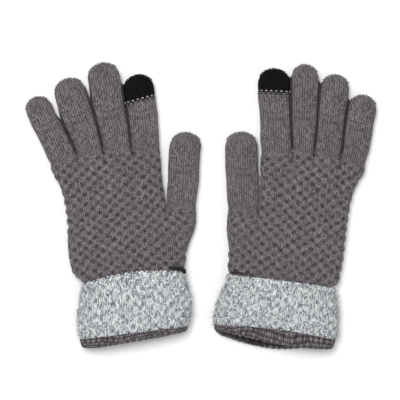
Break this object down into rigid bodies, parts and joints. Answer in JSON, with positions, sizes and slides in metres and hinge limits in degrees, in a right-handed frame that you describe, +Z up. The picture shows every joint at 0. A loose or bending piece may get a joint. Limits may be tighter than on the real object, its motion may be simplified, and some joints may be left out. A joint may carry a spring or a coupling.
{
  "type": "pair of knitted touchscreen gloves",
  "caption": "Pair of knitted winter gloves with turned-up cuffs and conductive index fingertips, lying palms down, thumbs side by side.",
  "frame": {"origin": "centre of the pair's footprint, on the surface they lie on", "axes": "+X from the left glove to the right glove, +Y towards the fingertips, +Z up off the surface"},
  "size_m": [0.2728, 0.2216, 0.0172],
  "materials": {
    "dark_grey_knit": "matt acrylic yarn, basket stitch on the hand and stocking stitch on the fingers",
    "conductive_knit": "matt black conductive yarn, stocking stitch",
    "light_marl_knit": "fuzzy light grey marl yarn, basket stitch",
    "grey_hem_knit": "matt grey acrylic yarn",
    "covered_elastic": "yarn-covered elastic",
    "black_thread": "black sewing thread"
  },
  "bodies": {
    "left_hand": {"left_hand_shell": "dark_grey_knit", "left_cuff": "light_marl_knit", "left_hem_band": "grey_hem_knit", "left_wrist_elastic": "covered_elastic", "left_tack_thread": "black_thread"},
    "left_little_near": {"left_little_base": "dark_grey_knit"},
    "left_little_far": {"left_little_tip": "dark_grey_knit"},
    "left_ring_near": {"left_ring_base": "dark_grey_knit"},
    "left_ring_far": {"left_ring_tip": "dark_grey_knit"},
    "left_middle_near": {"left_middle_base": "dark_grey_knit"},
    "left_middle_far": {"left_middle_tip": "dark_grey_knit"},
    "left_index_near": {"left_index_base": "dark_grey_knit"},
    "left_index_far": {"left_index_middle": "dark_grey_knit", "left_index_touch_tip": "conductive_knit"},
    "left_thumb_near": {"left_thumb_base": "dark_grey_knit"},
    "left_thumb_far": {"left_thumb_tip": "dark_grey_knit"},
    "right_hand": {"right_hand_shell": "dark_grey_knit", "right_cuff": "light_marl_knit", "right_hem_band": "grey_hem_knit", "right_wrist_elastic": "covered_elastic", "right_tack_thread": "black_thread"},
    "right_little_near": {"right_little_base": "dark_grey_knit"},
    "right_little_far": {"right_little_tip": "dark_grey_knit"},
    "right_ring_near": {"right_ring_base": "dark_grey_knit"},
    "right_ring_far": {"right_ring_tip": "dark_grey_knit"},
    "right_middle_near": {"right_middle_base": "dark_grey_knit"},
    "right_middle_far": {"right_middle_tip": "dark_grey_knit"},
    "right_index_near": {"right_index_base": "dark_grey_knit"},
    "right_index_far": {"right_index_middle": "dark_grey_knit", "right_index_touch_tip": "conductive_knit"},
    "right_thumb_near": {"right_thumb_base": "dark_grey_knit"},
    "right_thumb_far": {"right_thumb_tip": "dark_grey_knit"}
  },
  "joints": [
    {"name": "left_little_knuckle", "type": "hinge", "parent": "left_hand", "child": "left_little_near", "pos_m": [-0.10682, 0.0347, 0.003], "axis": [-0.9221, -0.2798, 0.2672], "range_deg": [0, 75]},
    {"name": "left_little_middle", "type": "hinge", "parent": "left_little_near", "child": "left_little_far", "pos_m": [-0.11842, 0.05797, 0.003], "axis": [-0.8624, -0.43, 0.2672], "range_deg": [0, 85]},
    {"name": "left_ring_knuckle", "type": "hinge", "parent": "left_hand", "child": "left_ring_near", "pos_m": [-0.08596, 0.04003, 0.003], "axis": [-0.9704, -0.1975, 0.1392], "range_deg": [0, 75]},
    {"name": "left_ring_middle", "type": "hinge", "parent": "left_ring_near", "child": "left_ring_far", "pos_m": [-0.09541, 0.06745, 0.003], "axis": [-0.9363, -0.3224, 0.1392], "range_deg": [0, 85]},
    {"name": "left_middle_knuckle", "type": "hinge", "parent": "left_hand", "child": "left_middle_near", "pos_m": [-0.0649, 0.04242, 0.003], "axis": [-0.9995, -0.0319, 0], "range_deg": [0, 75]},
    {"name": "left_middle_middle", "type": "hinge", "parent": "left_middle_near", "child": "left_middle_far", "pos_m": [-0.071, 0.07383, 0.003], "axis": [-0.9816, -0.1908, 0], "range_deg": [0, 85]},
    {"name": "left_index_knuckle", "type": "hinge", "parent": "left_hand", "child": "left_index_near", "pos_m": [-0.04288, 0.042, 0.003], "axis": [-0.9944, 0.0705, -0.0785], "range_deg": [0, 75]},
    {"name": "left_index_middle", "type": "hinge", "parent": "left_index_near", "child": "left_index_far", "pos_m": [-0.04605, 0.06982, 0.003], "axis": [-0.9905, -0.1129, -0.0785], "range_deg": [0, 85]},
    {"name": "left_thumb_knuckle", "type": "hinge", "parent": "left_hand", "child": "left_thumb_near", "pos_m": [-0.0157, -0.00091, 0.003], "axis": [-0.9988, 0.0489, 0], "range_deg": [0, 55]},
    {"name": "left_thumb_middle", "type": "hinge", "parent": "left_thumb_near", "child": "left_thumb_far", "pos_m": [-0.01428, 0.02806, 0.003], "axis": [-0.9988, 0.0489, 0], "range_deg": [0, 75]},
    {"name": "right_little_knuckle", "type": "hinge", "parent": "right_hand", "child": "right_little_near", "pos_m": [0.11851, 0.03281, 0.003], "axis": [-0.907, 0.2599, -0.3315], "range_deg": [0, 75]},
    {"name": "right_little_middle", "type": "hinge", "parent": "right_little_near", "child": "right_little_far", "pos_m": [0.12303, 0.05842, 0.003], "axis": [-0.9291, 0.1638, -0.3315], "range_deg": [0, 85]},
    {"name": "right_ring_knuckle", "type": "hinge", "parent": "right_hand", "child": "right_ring_near", "pos_m": [0.09864, 0.03797, 0.003], "axis": [-0.9542, 0.2242, -0.1983], "range_deg": [0, 75]},
    {"name": "right_ring_middle", "type": "hinge", "parent": "right_ring_near", "child": "right_ring_far", "pos_m": [0.10188, 0.06679, 0.003], "axis": [-0.974, 0.1093, -0.1983], "range_deg": [0, 85]},
    {"name": "right_middle_knuckle", "type": "hinge", "parent": "right_hand", "child": "right_middle_near", "pos_m": [0.07995, 0.04082, 0.003], "axis": [-0.9987, 0.0504, 0], "range_deg": [0, 75]},
    {"name": "right_middle_middle", "type": "hinge", "parent": "right_middle_near", "child": "right_middle_far", "pos_m": [0.08062, 0.07282, 0.003], "axis": [-0.9998, 0.0209, 0], "range_deg": [0, 85]},
    {"name": "right_index_knuckle", "type": "hinge", "parent": "right_hand", "child": "right_index_near", "pos_m": [0.05925, 0.04039, 0.003], "axis": [-0.987, -0.0681, 0.1454], "range_deg": [0, 75]},
    {"name": "right_index_middle", "type": "hinge", "parent": "right_index_near", "child": "right_index_far", "pos_m": [0.05793, 0.06936, 0.003], "axis": [-0.9884, -0.0449, 0.1454], "range_deg": [0, 85]},
    {"name": "right_thumb_knuckle", "type": "hinge", "parent": "right_hand", "child": "right_thumb_near", "pos_m": [0.03298, -0.00328, 0.003], "axis": [-0.9995, -0.0332, 0], "range_deg": [0, 55]},
    {"name": "right_thumb_middle", "type": "hinge", "parent": "right_thumb_near", "child": "right_thumb_far", "pos_m": [0.03198, 0.0267, 0.003], "axis": [-0.9995, -0.0332, 0], "range_deg": [0, 75]},
    {"name": "right_glove_lift", "type": "slide", "parent": "left_hand", "child": "right_hand", "axis": [0, 0, 1], "range_m": [0, 0.15]}
  ]
}
